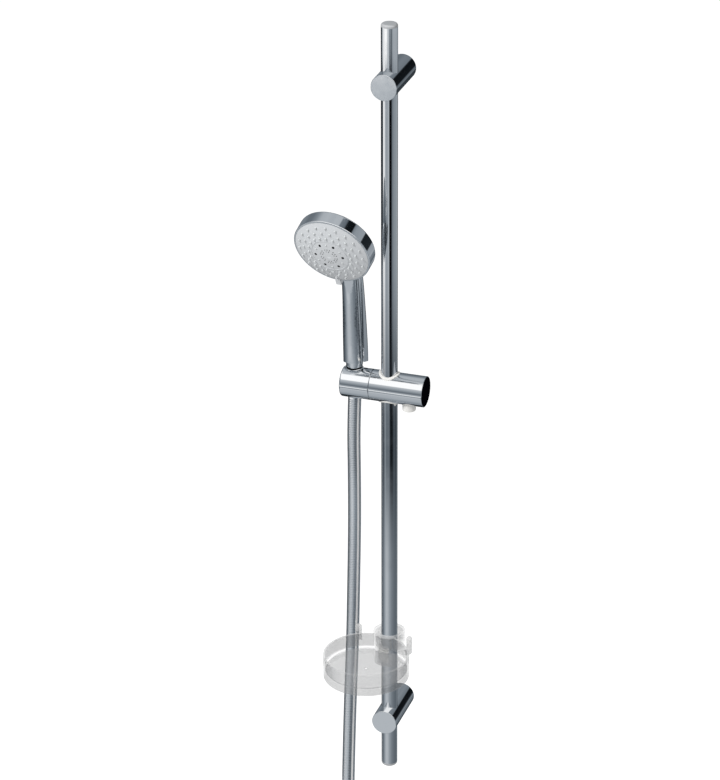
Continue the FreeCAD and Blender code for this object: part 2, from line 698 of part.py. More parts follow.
def rounded_path(points):
    """Straight runs joined by tangent arcs, each arc as large as its two runs allow."""
    edges = []
    last = points[0]
    for before, corner, after in zip(points, points[1:], points[2:]):
        into = (corner - before).normalize()
        out = (after - corner).normalize()
        half_turn = into.getAngle(out) / 2
        reach = BEND_SHARE * min((corner - before).Length, (after - corner).Length)
        radius = reach / math.tan(half_turn)
        print(f"hose bend radius {radius:.0f} mm, turn {math.degrees(2 * half_turn):.2f} degrees")
        start = corner - into * reach
        end = corner + out * reach
        inward = (out - into).normalize()
        middle = corner + inward * (radius / math.cos(half_turn) - radius)
        edges.append(Part.LineSegment(last, start).toShape())
        edges.append(Part.Arc(start, middle, end).toShape())
        last = end
    edges.append(Part.LineSegment(last, points[-1]).toShape())
    return Part.Wire(edges)


def hose_tube():
    path = rounded_path(HOSE_ROUTE)
    start = HOSE_ROUTE[0]
    section = Part.Wire(Part.makeCircle(HOSE_D / 2, start, HOSE_ROUTE[1] - start))
    tube = path.makePipeShell([section], True, False)
    swept = math.pi * HOSE_D ** 2 / 4 * path.Length
    print(f"hose run {path.Length:.1f} mm, volume over section times length {tube.Volume / swept:.4f}")
    turning = rod(SLIDER_R + RUN_GAP, -2 * SOCKET_X, 0, X)
    return tube.cut(placed(turning, SLIDER_PLACE))


def hose_coil():
    half = (COIL_TURNS * COIL_TURN_PITCH + HOSE_D) / 2
    ring = pipe(COIL_RADIUS + HOSE_D / 2, COIL_RADIUS - HOSE_D / 2, -half, half, Y)
    ring = rounded(ring, HOSE_D / 3, lambda c: abs(c.y) > half - TOUCH)
    ring = placed(ring, Placement(COIL_CENTRE, Rotation()))
    tail_r = END_NUT_AF / math.sqrt(3) + RUN_GAP
    tail = Part.makeCylinder(tail_r, COIL_RADIUS * 2, TAIL_TOP, -Z)
    return ring.cut(tail)


def coil_tie():
    half_y = (COIL_TURNS * COIL_TURN_PITCH + HOSE_D) / 2 + RUN_GAP
    half_x = HOSE_D / 2 + 2 * RUN_GAP
    wall = Vector(TIE_WALL, TIE_WALL, 0)
    inner = Vector(half_x, half_y, TIE_WIDTH / 2)
    band = block(-inner - wall, inner + wall).cut(block(-inner, inner))
    return placed(band, Placement(COIL_CENTRE - X * COIL_RADIUS, Rotation()))


def end_ferrule():
    sleeve = Part.makeCylinder(END_FERRULE_D / 2, END_FERRULE_LENGTH, TAIL_TOP, -Z)
    return rounded(sleeve, END_CHAMFER, lambda c: c.z > TAIL_TOP.z - TOUCH)


def end_nut():
    nut = hexagon(END_NUT_AF, 0, END_NUT_LENGTH)
    round_r = END_NUT_AF / math.sqrt(3)
    flat_r = round_r - END_CHAMFER
    chamfer = turned([
        (0, 0), (flat_r, 0), (round_r, END_CHAMFER), (round_r, END_NUT_LENGTH - END_CHAMFER),
        (flat_r, END_NUT_LENGTH), (0, END_NUT_LENGTH),
    ])
    nut = nut.common(chamfer).cut(rod(END_NUT_BORE_D / 2, 0, END_NUT_THREAD, Z))
    low = TAIL_TOP.z - END_FERRULE_LENGTH - END_NUT_LENGTH
    return placed(nut, Placement(Vector(TAIL_TOP.x, TAIL_TOP.y, low), Rotation()))


# Soap dish, in a frame with the rail on Z and the bowl towards -Y

DISH_LOW = DISH_RIM_Z - DISH_HEIGHT
DISH_MIDDLE = Vector(0, -DISH_OFFSET, 0)
COLLAR_BORE_R = RAIL_R + SLIDE_GAP + PAD_WALL + RUN_GAP


def dish_bowl():
    r = DISH_D / 2
    inner = r - DISH_WALL
    drain = DISH_DRAIN_D / 2
    floor = DISH_LOW + DISH_SKIRT
    bowl = turned([
        (drain, floor), (inner, floor), (inner, DISH_LOW), (r, DISH_LOW), (r, DISH_RIM_Z),
        (inner, DISH_RIM_Z), (inner, floor + DISH_FLOOR), (drain, floor + DISH_FLOOR),
    ])
    return placed(bowl, Placement(DISH_MIDDLE, Rotation()))


def dish_peg(side):
    """A hook: an arm out of the bowl's wall and a round-topped peg standing on its end."""
    foot = Vector(side * PEG_SIDE, -PEG_FRONT, DISH_RIM_Z - PEG_ARM_BELOW_RIM)
    top = DISH_RIM_Z + PEG_ABOVE_RIM - PEG_D / 2
    peg = Part.makeCylinder(PEG_D / 2, top - foot.z, foot, Z)
    crown = Part.makeSphere(PEG_D / 2, Vector(foot.x, foot.y, top))
    elbow = Part.makeSphere(PEG_D / 2, foot)
    inward = DISH_MIDDLE + Z * foot.z - foot
    reach = inward.Length - DISH_D / 2 + DISH_WALL / 2
    arm = Part.makeCylinder(PEG_D / 2, reach, foot, inward)
    return peg.fuse([crown, elbow, arm])


def dish_collar():
    """The clip round the rail: an outer wall and an inner sleeve joined by a flat top."""
    low = DISH_LOW - COLLAR_BELOW
    top = DISH_RIM_Z + COLLAR_ABOVE_RIM
    outer = COLLAR_D / 2
    wall = pipe(outer, outer - DISH_WALL, low, top, Z)
    sleeve = pipe(COLLAR_BORE_R + DISH_WALL, COLLAR_BORE_R, low, top, Z)
    web = pipe(outer, COLLAR_BORE_R, top - DISH_FLOOR, top, Z)
    return wall.fuse([sleeve, web])


def soap_dish():
    dish = dish_bowl().fuse([dish_collar(), dish_peg(1), dish_peg(-1)]).removeSplitter()
    bore = rod(COLLAR_BORE_R, DISH_LOW - COLLAR_BELOW, DISH_RIM_Z + COLLAR_ABOVE_RIM, Z)
    return placed(dish.cut(bore), DISH_PLACE)


def dish_pad():
    low = DISH_LOW - COLLAR_BELOW + DISH_FLOOR
    inner = RAIL_R + SLIDE_GAP
    outer = Part.makeCylinder(inner + PAD_WALL, PAD_HEIGHT, Z * low, Z, PAD_ARC)
    sector = outer.cut(rod(inner, low, low + PAD_HEIGHT, Z))
    turn = Placement(Vector(), Rotation(Z, PAD_CENTRE - PAD_ARC / 2))
    return placed(placed(sector, turn), DISH_PLACE)


PARTS = {
    "rail_tube": rail_tube(),
    "rail_cap_top": rail_cap(1),
    "rail_cap_bottom": rail_cap(-1),
    "bracket_top": placed(bracket_sleeve(), bracket_place(1)),
    "bracket_bottom": placed(bracket_sleeve(), bracket_place(-1)),
    "wall_boss_top": placed(wall_boss(), bracket_place(1)),
    "wall_boss_bottom": placed(wall_boss(), bracket_place(-1)),
    "bracket_grub_screws": grub_screws(),
    "rail_lock_screws": rail_lock_screws(),
    "slider_body": slider_body(),
    "slider_bush": slider_bush(),
    "slider_end_cap": slider_end_cap(),
    "grip_ring": grip_ring(),
    "brake_shoe": brake_shoe(),
    "brake_spring": brake_spring(),
    "release_button": release_button(),
    "friction_washer": friction_washer(),
    "pivot_spring_washer": pivot_spring_washer(),
    "pivot_screw": pivot_screw(),
    "handset_holder": handset_holder(),
    "hose_cone_nut": hose_cone_nut(),
    "hose_ferrule": hose_ferrule(),
    "hose_seal": hose_seal(),
    "handset_body": handset_body(),
    "spray_plate": spray_plate(),
    "nozzle_mat": nozzle_mat(),
    "flow_divider": flow_divider(),
    "hose_tube": hose_tube(),
    "hose_coil": hose_coil(),
    "coil_tie": coil_tie(),
    "hose_end_ferrule": end_ferrule(),
    "hose_end_nut": end_nut(),
    "soap_dish": soap_dish(),
    "dish_pad": dish_pad(),
}

os.makedirs("parts", exist_ok=True)
for name, shape in PARTS.items():
    shape.exportStep(f"parts/{name}.step")
    print(f"{name}: {len(shape.Solids)} solids, {shape.Volume:.0f} mm3, valid {shape.isValid()}")
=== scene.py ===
"""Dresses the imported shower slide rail: finishes, spray face details, brake spring, hose and studio."""

import math

import bpy
import numpy as np
from bpy.props import FloatProperty, FloatVectorProperty, IntProperty, PointerProperty
from mathutils import Matrix, Vector


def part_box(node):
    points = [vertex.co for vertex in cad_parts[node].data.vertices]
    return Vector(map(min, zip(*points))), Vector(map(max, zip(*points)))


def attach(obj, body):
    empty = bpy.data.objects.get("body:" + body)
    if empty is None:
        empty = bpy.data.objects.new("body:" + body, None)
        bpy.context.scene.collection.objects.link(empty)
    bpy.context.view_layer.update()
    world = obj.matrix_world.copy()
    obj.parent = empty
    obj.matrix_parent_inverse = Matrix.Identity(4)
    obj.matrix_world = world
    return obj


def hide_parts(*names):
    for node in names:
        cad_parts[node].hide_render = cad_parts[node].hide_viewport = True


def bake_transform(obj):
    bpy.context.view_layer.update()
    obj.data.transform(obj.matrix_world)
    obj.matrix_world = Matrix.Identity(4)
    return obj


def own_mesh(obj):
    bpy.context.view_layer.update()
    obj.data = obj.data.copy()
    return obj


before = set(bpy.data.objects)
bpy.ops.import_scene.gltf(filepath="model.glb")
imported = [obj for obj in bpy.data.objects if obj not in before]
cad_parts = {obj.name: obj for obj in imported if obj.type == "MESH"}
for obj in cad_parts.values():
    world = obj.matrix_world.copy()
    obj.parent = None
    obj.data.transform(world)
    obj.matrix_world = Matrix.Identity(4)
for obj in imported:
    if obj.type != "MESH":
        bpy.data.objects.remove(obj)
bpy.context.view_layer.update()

bl_info = {
    "name": "Shower slide rail",
    "version": (1, 0, 0),
    "blender": (4, 5, 0),
    "location": "3D View > Sidebar > Slide rail",
    "description": "Finishes, spray face, brake spring, hose and studio of a shower slide rail",
    "category": "Object",
}

MM = 0.001

# Places on the part, in metres
RAIL_Y = -0.052
SLIDER_Z = 0.034
SOCKET_X = -0.0464
SOCKET_BACK = 0.007

# Spray face: how it stands on the holder, its dome, its jets with the small nozzles between them, and the
# mist holes inside each small nozzle as (distance from the middle, degrees to its side)
HANDSET_LEAN = math.radians(4)
HANDSET_TURN = math.radians(-6.4)
FACE_FROM_SOCKET = (0, -0.052, 0.1985)
FACE_TILT = math.radians(109)
FACE_PLACE = (
    Matrix.Translation((SOCKET_X, RAIL_Y, SLIDER_Z)) @ Matrix.Rotation(HANDSET_LEAN, 4, "X")
    @ Matrix.Translation((0, SOCKET_BACK, 0)) @ Matrix.Rotation(HANDSET_TURN, 4, "Z")
    @ Matrix.Translation(FACE_FROM_SOCKET) @ Matrix.Rotation(FACE_TILT, 4, "X"))
DOME_R = 0.0462
DOME_RISE = 0.0085
DOME_BALL = (DOME_R ** 2 + DOME_RISE ** 2) / (2 * DOME_RISE)
JETS = 6
JET_RING = 0.0176
JET_PHASE = math.radians(3)
JET_MOUTH_R = 0.0017
SMALL_NOZZLE_R = 0.0013
SMALL_NOZZLE_RISE = 0.0012
SMALL_NOZZLE_SINK = 0.0001
MIST_HOLES = ((0.0078, -11), (0.0078, 11), (0.0105, -17), (0.0105, 0), (0.0105, 17))
MIST_HOLE_R = 0.00068
HOLE_LIFT = 0.00004

# Soap dish: middle of the bowl, the way its front points, and where front, walls, floor, rim and collar lie
DISH_MIDDLE = (-0.00968, -0.11526)
DISH_FRONT = (0.309, -0.951)
DISH_FRONT_REACH = 0.033
DISH_FILLET_R = 0.0488
DISH_INSIDE_R = 0.0500
DISH_OUTSIDE_R = 0.0540
DISH_FLOOR_Z = -0.3230
DISH_RIM_Z = -0.3054
COLLAR_REACH = 0.029

# Hose: its way down from the holder in millimetres
HOSE_ROUTE = (
    (-46.4, -44.1, 22.0), (-48.9, -43.0, -30.0), (-48.6, -41.7, -95.0), (-49.9, -38.0, -170.0),
    (-52.0, -36.4, -250.0), (-53.8, -36.6, -335.0), (-56.8, -38.0, -420.0), (-58.4, -41.0, -505.0),
    (-58.7, -46.0, -595.0), (-58.7, -49.0, -650.0))
HOSE_LOW = (-58.7, -49.0, -665.0)

# Hose: the drop of its tail, its neck in the ferrule and its rib in metres, then its painted highlight stripe
# in shares of a turn, and its lengthwise bands of painted highlight and shade as (share of a turn, share of
# the foil's level)
HOSE_TAIL_DROP = 0.004
NECK_LENGTH = 0.008
NECK_IN = 0.0003
HOSE_RIB = 0.0024
HOSE_HIGHLIGHT_AT = 0.90
HOSE_HIGHLIGHT_HALF = 0.026
HOSE_LIGHT_AND_SHADE = (
    (0.0, 0.85), (0.64, 0.80), (0.70, 1.0), (0.745, 1.0), (0.79, 0.78), (0.825, 0.60), (0.85, 0.58),
    (0.872, 0.8), (0.885, 1.0), (0.925, 1.0), (0.945, 0.72), (1.0, 0.82))

# Stage, in metres, and how many clear surfaces a ray may pass
FLOOR_Z = -1.6
FLOOR_REACH = 9
KEY_PLACE = (-1.4, -2.2, 2.4)
KEY_SIZE = 0.9
CLEAR_LAYERS = 32

# Camera, fitted in pixels of the picture, with its sensor in millimetres and its target in metres
PICTURE_PIXELS = 780
FOCAL_PIXELS = 3452
SENSOR_WIDTH = 36
CAMERA_SHIFT = (-29.44 / PICTURE_PIXELS, 3.06 / PICTURE_PIXELS)
CAMERA_TARGET = (0, RAIL_Y, 0.025559)


# Settings

class RailFinish(bpy.types.PropertyGroup):
    """Colours of the plated and moulded pieces"""

    chrome: FloatVectorProperty(
        name="Chrome", description="Colour of the plating", subtype="COLOR", default=(0.81, 0.82, 0.83))
    chrome_roughness: FloatProperty(
        name="Chrome roughness", description="Blur of the plating", subtype="FACTOR", default=0.035)
    foil: FloatProperty(
        name="Foil", description="Level of the hose's silver foil", subtype="FACTOR", default=0.96)
    face: FloatVectorProperty(
        name="Spray face", description="Colour of the spray plate", subtype="COLOR",
        default=(0.60, 0.62, 0.64))
    nozzle: FloatVectorProperty(
        name="Nozzles", description="Colour of the soft nozzles", subtype="COLOR", default=(0.62, 0.64, 0.65))
    pale: FloatVectorProperty(
        name="Pale plastic", description="Colour of bush and button", subtype="COLOR",
        default=(0.84, 0.83, 0.80))
    dish: FloatVectorProperty(
        name="Dish", description="Tint of the clear dish", subtype="COLOR", default=(0.30, 0.305, 0.31))
    veil: FloatProperty(
        name="Veil", description="Cloudiness of each of the dish's surfaces", subtype="FACTOR", default=0.333)


class HoseShape(bpy.types.PropertyGroup):
    """Sizes of the hose"""

    diameter: FloatProperty(
        name="Diameter", description="Outside diameter", unit="LENGTH", default=0.0162)
    length: FloatProperty(
        name="Length", description="Length of the whole hose", unit="LENGTH", default=1.6)
    coil_radius: FloatProperty(
        name="Coil radius", description="Middle radius of the spare coil", unit="LENGTH", default=0.075)
    coil_pitch: FloatProperty(
        name="Coil pitch", description="Distance between the turns", unit="LENGTH", default=0.017)
    turns: IntProperty(name="Turns", description="Turns of the spare coil", default=2)
    sides: IntProperty(name="Sides", description="Faces round the hose", default=24)


class StudioLight(bpy.types.PropertyGroup):
    """Camera and light levels"""

    ambient: FloatProperty(name="Ambient", description="Level of the soft light", default=0.60)
    key: FloatProperty(name="Key", description="Power of the main lamp", unit="POWER", default=80.0)
    lens: FloatProperty(
        name="Lens", description="Focal length in mm", unit="CAMERA",
        default=SENSOR_WIDTH * FOCAL_PIXELS / PICTURE_PIXELS)
    azimuth: FloatProperty(
        name="Azimuth", description="Camera to the right of the front", subtype="ANGLE",
        default=math.radians(18))
    elevation: FloatProperty(
        name="Elevation", description="Camera above the horizon", subtype="ANGLE",
        default=math.radians(25.99))
    distance: FloatProperty(
        name="Distance", description="Camera to target", unit="LENGTH", default=4.167158)


# Meshes

def grid_faces(rows, columns, closed):
    """Quads of a grid of rows by columns; closed joins the last column to the first."""
    across = columns if closed else columns - 1
    i, j = np.meshgrid(np.arange(rows - 1), np.arange(across), indexing="ij")
    k = (j + 1) % columns
    quads = np.stack([i * columns + j, i * columns + k, (i + 1) * columns + k, (i + 1) * columns + j], -1)
    return quads.reshape(-1, 4)


def new_piece(name, points, faces, smooth=True):
    """An object at the origin from an array of points and a list of faces."""
    mesh = bpy.data.meshes.new(name)
    mesh.from_pydata(points.reshape(-1, 3).tolist(), [], [list(f) for f in faces])
    mesh.update()
    if smooth:
        mesh.polygons.foreach_set("use_smooth", np.ones(len(mesh.polygons), bool))
    piece = bpy.data.objects.new(name, mesh)
    bpy.context.scene.collection.objects.link(piece)
    return piece


def put_uv(piece, uv_of_vertex):
    """A UV map from one pair of numbers per vertex."""
    mesh = piece.data
    index = np.empty(len(mesh.loops), int)
    mesh.loops.foreach_get("vertex_index", index)
    layer = mesh.uv_layers.new(name="UVMap")
    layer.data.foreach_set("uv", uv_of_vertex[index].astype(np.float32).ravel())


def read_spline(points, resolution):
    """The points of a smooth NURBS line of order 3 that has these control points."""
    curve = bpy.data.curves.new("line", "CURVE")
    curve.dimensions = "3D"
    spline = curve.splines.new("NURBS")
    spline.points.add(len(points) - 1)
    spline.points.foreach_set("co", np.c_[points, np.ones(len(points))].ravel())
    spline.order_u = 3
    spline.use_endpoint_u = True
    spline.resolution_u = resolution
    holder = bpy.data.objects.new("line", curve)
    bpy.context.scene.collection.objects.link(holder)
    bpy.context.view_layer.update()
    mesh = bpy.data.meshes.new_from_object(holder)
    line = np.empty(len(mesh.vertices) * 3)
    mesh.vertices.foreach_get("co", line)
    bpy.data.objects.remove(holder)
    bpy.data.curves.remove(curve)
    bpy.data.meshes.remove(mesh)
    return line.reshape(-1, 3)


def tube_points(line, radius, sides, across):
    """Circles of a radius per point, square to a line. The side is square to the line and to a fixed
    direction across it, and up is square to both. A point is the line's own, plus the radius times the
    cosine of its turn along the side and the sine of its turn along up."""
    along = np.gradient(line, axis=0)
    along /= np.linalg.norm(along, axis=1)[:, None]
    side = np.cross(along, across)
    side /= np.linalg.norm(side, axis=1)[:, None]
    up = np.cross(side, along)
    turn = np.linspace(0, 2 * np.pi, sides, endpoint=False)
    ring = np.cos(turn)[None, :, None] * side[:, None] + np.sin(turn)[None, :, None] * up[:, None]
    return line[:, None] + np.asarray(radius).reshape(-1, 1, 1) * ring


def tube_faces(rings, sides):
    """Faces of a tube of rings, with a plate on each end."""
    faces = grid_faces(rings, sides, True).tolist()
    last = rings * sides
    faces.append(list(range(sides))[::-1])
    faces.append(list(range(last - sides, last)))
    return faces


def face_points(radius, turn, height):
    """Points of the spray face from distance and angle about its axis and height over its dome, in metres.
    The dome is a cap of a ball: the root of the ball's radius squared less the distance squared, less the
    ball's radius, plus the rise."""
    dome = np.sqrt(DOME_BALL ** 2 - radius ** 2) - DOME_BALL + DOME_RISE
    local = np.stack([radius * np.cos(turn), radius * np.sin(turn), dome + height], -1)
    return local @ np.array(FACE_PLACE.to_3x3()).T + np.array(FACE_PLACE.translation)


def face_discs(name, radius, turn, size, height, material):
    """Makes small round plates on the spray face: circles of a size, about middles at distances and angles
    round its axis, laid at a height over the dome."""
    sides = 12
    step = 2 * np.pi * np.arange(sides) / sides
    px = (radius * np.cos(turn))[:, None] + size * np.cos(step)
    py = (radius * np.sin(turn))[:, None] + size * np.sin(step)
    points = face_points(np.hypot(px, py), np.arctan2(py, px), height)
    piece = new_piece(name, points, np.arange(points.size // 3).reshape(-1, sides), False)
    piece.data.materials.append(material)
    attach(piece, "spray_face")


# Shader nodes

def node(tree, kind, **inputs):
    """A shader node with some of its inputs set by name."""
    made = tree.nodes.new(kind)
    for name, value in inputs.items():
        made.inputs[name].default_value = value
    return made


def math_node(tree, operation, first, second=None):
    """A math node on sockets or numbers."""
    made = tree.nodes.new("ShaderNodeMath")
    made.operation = operation
    for place, value in enumerate((first, second)):
        if value is None:
            continue
        if isinstance(value, (int, float)):
            made.inputs[place].default_value = value
        else:
            tree.links.new(value, made.inputs[place])
    return made.outputs[0]


def product(tree, first, second):
    """The first value times the second."""
    return math_node(tree, "MULTIPLY", first, second)


def inverse(tree, value):
    """1 less a value."""
    return math_node(tree, "SUBTRACT", 1.0, value)


def mix_colours(tree, factor, first, second):
    """The first colour where the factor is 0, the second where it is 1."""
    made = tree.nodes.new("ShaderNodeMix")
    made.data_type = "RGBA"
    tree.links.new(factor, made.inputs["Factor"])
    for name, value in (("A", first), ("B", second)):
        place = [s for s in made.inputs if s.name == name and s.type == "RGBA"][0]
        if isinstance(value, tuple):
            place.default_value = value
        else:
            tree.links.new(value, place)
    return [s for s in made.outputs if s.type == "RGBA"][0]


def smooth_step(tree, value, low, high):
    """0 below low, 1 above high, smooth between."""
    made = tree.nodes.new("ShaderNodeMapRange")
    made.interpolation_type = "SMOOTHSTEP"
    made.inputs["From Min"].default_value = low
    made.inputs["From Max"].default_value = high
    tree.links.new(value, made.inputs["Value"])
    return made.outputs["Result"]


def past(tree, value, place, blur):
    """0 before a place and 1 past it, smooth over a blur on both sides."""
    return smooth_step(tree, value, place - blur, place + blur)


def plan_offset(tree, split, middle):
    """How far a point of the plan lies from a middle, across and along."""
    return (math_node(tree, "SUBTRACT", split.outputs["X"], middle[0]),
            math_node(tree, "SUBTRACT", split.outputs["Y"], middle[1]))


def plan_length(tree, dx, dy):
    """Length of an offset in the plan, the root of the sum of its squares."""
    return math_node(tree, "SQRT", math_node(tree, "ADD", product(tree, dx, dx), product(tree, dy, dy)))


def ramp(tree, stops, factor):
    """A colour ramp from (place, level) stops. The darker a level is, the cooler it is: its shift to blue is 1
    less the level to the power of a bend, times the most that it can be."""
    most, bend = 0.27, 0.45
    made = tree.nodes.new("ShaderNodeValToRGB")
    band = made.color_ramp
    while len(band.elements) < len(stops):
        band.elements.new(0.5)
    for element, (place, level) in zip(band.elements, stops):
        blue = most * max(1 - level ** bend, 0)
        element.position = place
        element.color = (level * (1 - blue), level, level * (1 + blue), 1)
    tree.links.new(factor, made.inputs["Fac"])
    return made.outputs["Color"]


# Materials

def new_material(name):
    """A material with a fresh Principled BSDF; returns material, tree, shader."""
    material = bpy.data.materials.new(name)
    material.use_nodes = True
    tree = material.node_tree
    tree.nodes.clear()
    out = tree.nodes.new("ShaderNodeOutputMaterial")
    shader = tree.nodes.new("ShaderNodeBsdfPrincipled")
    tree.links.new(shader.outputs[0], out.inputs[0])
    return material, tree, shader


def water_marks_group():
    """Faint wiping marks: a fine noise of a given scale, as a roughness between two values."""
    name = "Water marks"
    if name in bpy.data.node_groups:
        return bpy.data.node_groups[name]
    group = bpy.data.node_groups.new(name, "ShaderNodeTree")
    face = group.interface
    face.new_socket("Vector", in_out="INPUT", socket_type="NodeSocketVector")
    face.new_socket("Scale", in_out="INPUT", socket_type="NodeSocketFloat")
    face.new_socket("Low", in_out="INPUT", socket_type="NodeSocketFloat")
    face.new_socket("High", in_out="INPUT", socket_type="NodeSocketFloat")
    face.new_socket("Roughness", in_out="OUTPUT", socket_type="NodeSocketFloat")
    start = group.nodes.new("NodeGroupInput")
    end = group.nodes.new("NodeGroupOutput")
    noise = node(group, "ShaderNodeTexNoise", Detail=5.0, Roughness=0.6)
    levels = group.nodes.new("ShaderNodeMapRange")
    levels.inputs["From Min"].default_value = 0.35
    levels.inputs["From Max"].default_value = 0.75
    group.links.new(start.outputs["Vector"], noise.inputs["Vector"])
    group.links.new(start.outputs["Scale"], noise.inputs["Scale"])
    group.links.new(noise.outputs["Fac"], levels.inputs["Value"])
    group.links.new(start.outputs["Low"], levels.inputs["To Min"])
    group.links.new(start.outputs["High"], levels.inputs["To Max"])
    group.links.new(levels.outputs["Result"], end.inputs["Roughness"])
    return group


def add_marks(tree, shader, scale, low, high):
    """Feeds a shader's roughness from the water marks on object coordinates."""
    coords = tree.nodes.new("ShaderNodeTexCoord")
    marks = tree.nodes.new("ShaderNodeGroup")
    marks.node_tree = water_marks_group()
    marks.inputs["Scale"].default_value = scale
    marks.inputs["Low"].default_value = low
    marks.inputs["High"].default_value = high
    tree.links.new(coords.outputs["Object"], marks.inputs["Vector"])
    tree.links.new(marks.outputs["Roughness"], shader.inputs["Roughness"])
    return coords


def chrome_material(name, colour, roughness):
    """Polished plating with faint wiping marks."""
    material, tree, shader = new_material(name)
    shader.inputs["Base Color"].default_value = (*colour, 1)
    shader.inputs["Metallic"].default_value = 1.0
    add_marks(tree, shader, scale=60.0, low=roughness, high=roughness * 2.2)
    return material


def satin_material(name, colour):
    """A moulded plug with a thin satin metal skin."""
    material, tree, shader = new_material(name)
    shader.inputs["Base Color"].default_value = (*colour, 1)
    shader.inputs["Metallic"].default_value = 0.35
    add_marks(tree, shader, scale=90.0, low=0.3, high=0.4)
    return material


def plastic_material(name, colour, low, high, bump=0.0, gloss=0.5):
    """Moulded plastic with a slightly uneven gloss and a fine skin."""
    material, tree, shader = new_material(name)
    shader.inputs["Base Color"].default_value = (*colour, 1)
    shader.inputs["IOR"].default_value = 1.49
    shader.inputs["Specular IOR Level"].default_value = gloss
    coords = add_marks(tree, shader, scale=90.0, low=low, high=high)
    if bump:
        skin = node(tree, "ShaderNodeTexNoise", Scale=900.0, Detail=2.0)
        relief = node(tree, "ShaderNodeBump", Strength=bump, Distance=0.0002)
        tree.links.new(coords.outputs["Object"], skin.inputs["Vector"])
        tree.links.new(skin.outputs["Fac"], relief.inputs["Height"])
        tree.links.new(relief.outputs["Normal"], shader.inputs["Normal"])
    return material


def dish_material(tint, veil):
    """Clear, slightly frosted plastic: an uneven veil on each surface, with a painted highlight on the rim and
    along the floor's fillet. It is thinner on the front wall, the back of the skirt and the collar, where more
    surfaces lie one behind the other. Shadows and reflections pass through."""
    # The first colour is a painted highlight for the rim and the floor's fillet, and the next two numbers set
    # how strongly it shows; the last is how uneven the veil is.
    pale, fillet_highlight_share, rim_highlight_veil, uneven = (0.7, 0.7, 0.7, 1), 0.15, 0.15, 0.04
    material, tree, shader = new_material("Clear plastic")
    shader.inputs["IOR"].default_value = 1.45
    coords = add_marks(tree, shader, scale=120.0, low=0.12, high=0.22)
    split = tree.nodes.new("ShaderNodeSeparateXYZ")
    tree.links.new(coords.outputs["Object"], split.inputs[0])
    height = split.outputs["Z"]
    dx, dy = plan_offset(tree, split, DISH_MIDDLE)
    radius = plan_length(tree, dx, dy)
    wall = past(tree, radius, DISH_INSIDE_R, blur=0.0003)
    outside = past(tree, radius, DISH_OUTSIDE_R, blur=0.0005)
    raised = past(tree, height, DISH_FLOOR_Z, blur=0.0005)
    skirt = inverse(tree, raised)
    rim = past(tree, height, DISH_RIM_Z, blur=0.0002)
    # Painted highlight: the rim and the floor's fillet are mixed towards a pale grey, for the light they
    # catch.
    fillet = math_node(tree, "SUBTRACT", past(tree, radius, DISH_FILLET_R, blur=0.0002), wall)
    painted_edge_highlight = math_node(tree, "MAXIMUM", rim, product(tree, product(tree, skirt, fillet), fillet_highlight_share))
    tree.links.new(mix_colours(tree, painted_edge_highlight, (*tint, 1), pale), shader.inputs["Base Color"])
    ahead = math_node(tree, "ADD", product(tree, dx, DISH_FRONT[0]), product(tree, dy, DISH_FRONT[1]))
    front = product(tree, raised, past(tree, ahead, DISH_FRONT_REACH, blur=0.011))
    behind = product(tree, skirt, inverse(tree, past(tree, ahead, 0.0, blur=0.012)))
    bare = product(tree, wall, math_node(tree, "ADD", front, behind))
    from_rail = plan_length(tree, *plan_offset(tree, split, (0, RAIL_Y)))
    collar = product(tree, outside, inverse(tree, past(tree, from_rail, COLLAR_REACH, blur=0.005)))
    cloud = node(tree, "ShaderNodeTexNoise", Scale=70.0, Detail=3.0)
    tree.links.new(coords.outputs["Object"], cloud.inputs["Vector"])
    cover = math_node(tree, "ADD", product(tree, cloud.outputs["Fac"], uneven), veil - uneven / 2)
    for part, share in ((bare, 0.85), (collar, 0.60)):
        cover = product(tree, cover, inverse(tree, product(tree, part, share)))
    # The rim is also made more opaque, so that its painted highlight shows.
    cover = math_node(tree, "ADD", cover, product(tree, rim, rim_highlight_veil))
    ray = tree.nodes.new("ShaderNodeLightPath")
    aside = math_node(tree, "MAXIMUM", ray.outputs["Is Shadow Ray"], ray.outputs["Is Glossy Ray"])
    tree.links.new(product(tree, cover, inverse(tree, aside)), shader.inputs["Alpha"])
    return material


